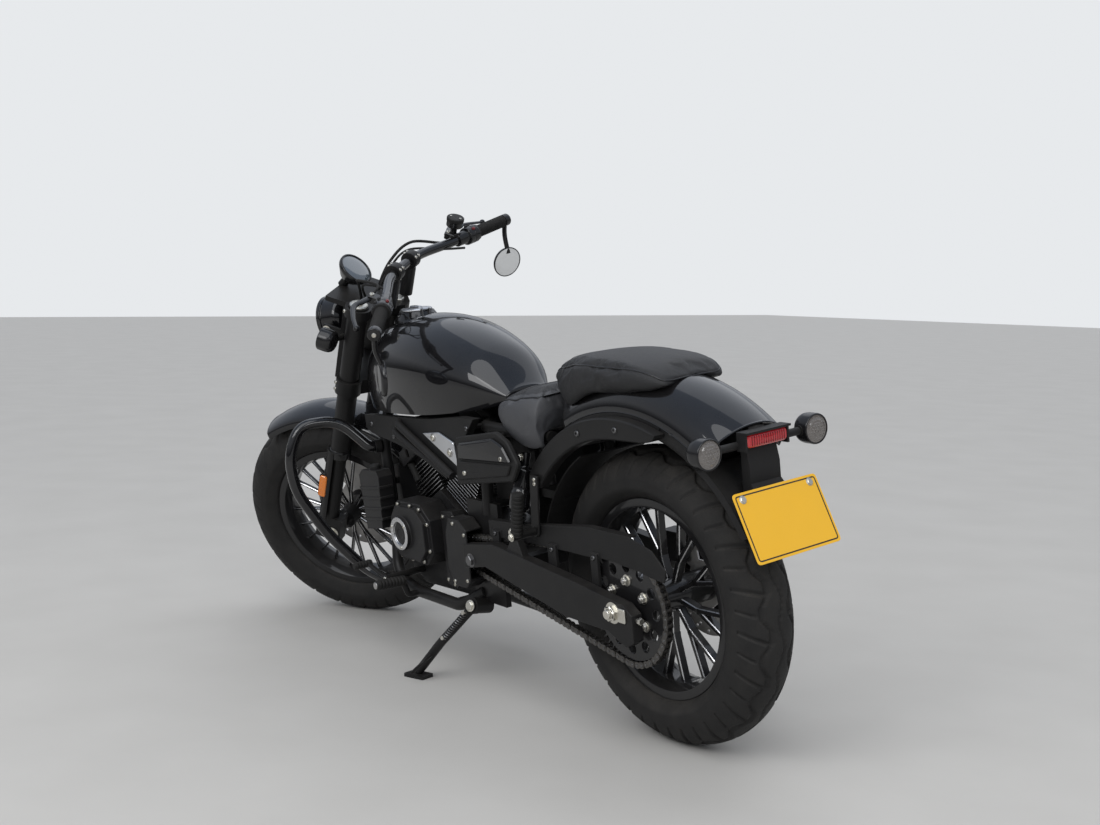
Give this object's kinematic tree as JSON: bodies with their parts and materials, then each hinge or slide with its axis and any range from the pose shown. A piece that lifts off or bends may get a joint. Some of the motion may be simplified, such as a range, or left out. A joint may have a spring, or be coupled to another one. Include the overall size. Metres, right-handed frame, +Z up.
{
  "type": "cruiser motorcycle",
  "caption": "Black cruiser motorcycle with chain drive, leaning on its side stand, with turning wheels and steering, a folding stand and a hinged fuel lid.",
  "frame": {"origin": "on the floor below the middle of the overall box, as the motorcycle leans on its side stand", "axes": "+X forward along the wheelbase, +Y to the rider's left, the side it leans to, +Z up from the floor"},
  "size_m": [2.0723, 0.7409, 1.1659],
  "materials": {
    "painted_frame": "matt",
    "gloss_black": "gloss",
    "engine_black": "satin",
    "wheel_black": "satin",
    "plate_yellow": "satin",
    "brushed_plate": "brushed",
    "steel": "satin",
    "chain_steel": "oiled",
    "mirror_black": "gloss",
    "matt_black": "matt",
    "lamp_red": "gloss",
    "lamp_black": "gloss",
    "seat_vinyl": "grained",
    "rubber_black": "matt",
    "tyre": "matt"
  },
  "bodies": {
    "chassis": {"frame": "painted_frame", "swingarm": "painted_frame", "engine": "engine_black", "cylinders": "engine_black", "engine_covers": "engine_black", "chain": "chain_steel", "exhaust": "painted_frame", "rear_shocks": "painted_frame", "radiator": "engine_black", "fuel_tank": "gloss_black", "frame_covers": "matt_black", "frame_plates": "brushed_plate", "side_covers": "matt_black", "solo_seat": "seat_vinyl", "pillion_seat": "seat_vinyl", "rear_fender": "gloss_black", "inner_mudguard": "matt_black", "fender_struts": "painted_frame", "tail_light": "lamp_red", "tail_bracket": "matt_black", "number_plate": "plate_yellow", "rear_indicators": "lamp_black", "chain_guard": "matt_black", "footrests": "rubber_black", "foot_controls": "painted_frame", "engine_guard": "gloss_black", "rear_caliper": "engine_black"},
    "fuel_lid": {"fuel_cap": "brushed_plate"},
    "stand_leg": {"side_stand": "painted_frame"},
    "rear_wheel_set": {"rear_tyre": "tyre", "rear_wheel": "wheel_black", "rear_sprocket": "steel", "rear_disc": "steel"},
    "steering_set": {"fork": "painted_frame", "triple_clamps": "painted_frame", "front_fender": "gloss_black", "headlight": "gloss_black", "gauge": "lamp_black", "handlebar": "gloss_black", "grips": "rubber_black", "switchgear": "matt_black", "mirrors": "mirror_black", "front_caliper": "engine_black", "front_indicators": "lamp_black"},
    "front_wheel_set": {"front_tyre": "tyre", "front_wheel": "wheel_black", "front_disc": "steel"}
  },
  "joints": [
    {"name": "rear_wheel_spin", "type": "hinge", "parent": "chassis", "child": "rear_wheel_set", "pos_m": [-0.64612, 0.00415, 0.32047], "axis": [0, 0.9919, -0.1274], "continuous": true},
    {"name": "steering_turn", "type": "hinge", "parent": "chassis", "child": "steering_set", "pos_m": [0.45579, 0.06857, 0.82192], "axis": [-0.4472, 0.114, 0.8871], "range_deg": [-70, 0]},
    {"name": "front_wheel_spin", "type": "hinge", "parent": "steering_set", "child": "front_wheel_set", "pos_m": [0.75666, 0.02753, 0.30253], "axis": [-0.513, 0.7798, -0.3588], "continuous": true},
    {"name": "side_stand_fold", "type": "hinge", "parent": "chassis", "child": "stand_leg", "pos_m": [-0.05874, 0.1292, 0.19509], "axis": [-0.198, 0.9718, 0.1278], "range_deg": [0, 92]},
    {"name": "fuel_lid_open", "type": "hinge", "parent": "chassis", "child": "fuel_lid", "pos_m": [0.26731, 0.07871, 0.90088], "axis": [0, -0.9919, 0.1274], "range_deg": [0, 90]}
  ]
}
